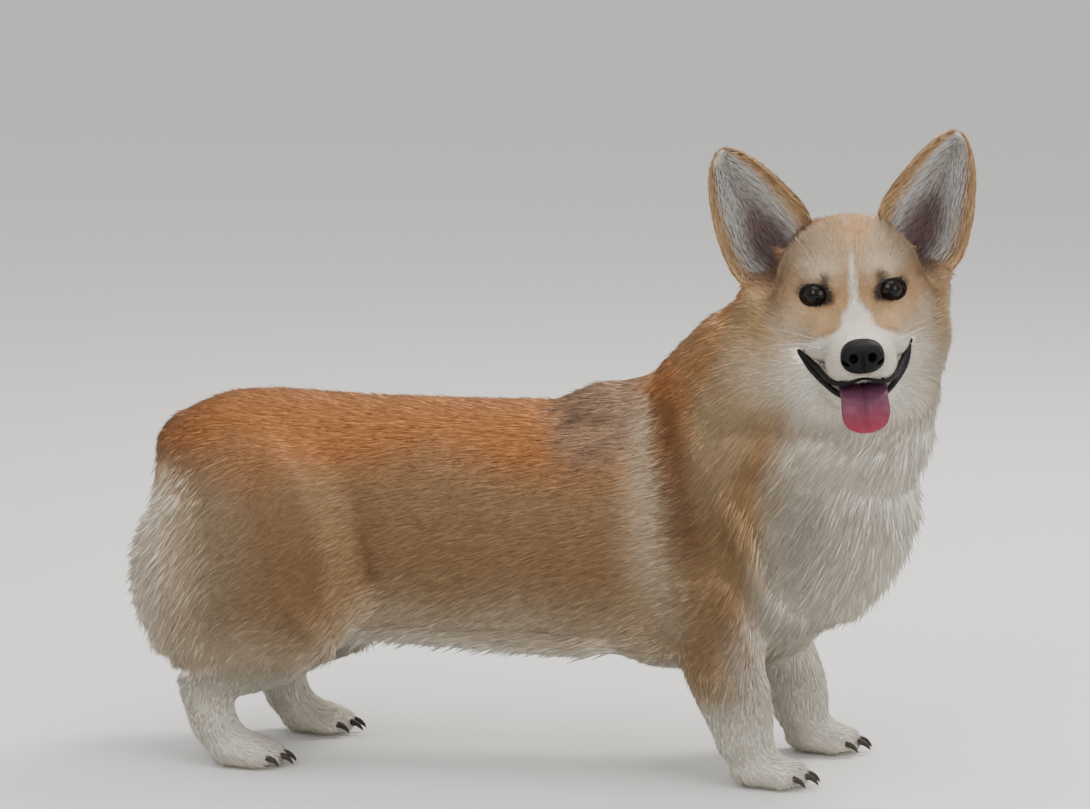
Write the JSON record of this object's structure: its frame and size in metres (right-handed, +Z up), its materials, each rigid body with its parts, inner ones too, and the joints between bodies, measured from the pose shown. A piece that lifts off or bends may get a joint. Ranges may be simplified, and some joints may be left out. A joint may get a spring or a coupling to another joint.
{
  "type": "pembroke welsh corgi figure",
  "caption": "Life-size corgi standing four-square, head turned to its right with ears up, mouth open and tongue out.",
  "frame": {"origin": "on the floor under the middle of the bounding box", "axes": "+X from the rump to the breast, +Y to the dog's left, +Z up from the floor its paws stand on"},
  "size_m": [0.6146, 0.2598, 0.4722],
  "materials": {
    "red_coat": "dense red fawn fur",
    "cream_coat": "dense cream white fur",
    "nose_leather": "moist black skin",
    "eye": "wet dark brown eye",
    "tongue": "moist pink skin"
  },
  "bodies": {
    "root": {"torso": "red_coat", "neck": "red_coat", "head": "red_coat", "lower_jaw": "cream_coat", "upper_lip": "nose_leather", "lower_lip": "nose_leather", "nose": "nose_leather", "tongue": "tongue", "eye_left": "eye", "eye_right": "eye", "lids_left": "nose_leather", "lids_right": "nose_leather", "ear_left": "red_coat", "ear_right": "red_coat", "tail": "red_coat", "shoulder_left": "red_coat", "shoulder_right": "red_coat", "fore_shank_left": "red_coat", "fore_shank_right": "red_coat", "fore_paw_left": "cream_coat", "fore_paw_right": "cream_coat", "thigh_left": "red_coat", "thigh_right": "red_coat", "hind_shank_left": "red_coat", "hind_shank_right": "red_coat", "hind_paw_left": "cream_coat", "hind_paw_right": "cream_coat"}
  },
  "joints": []
}
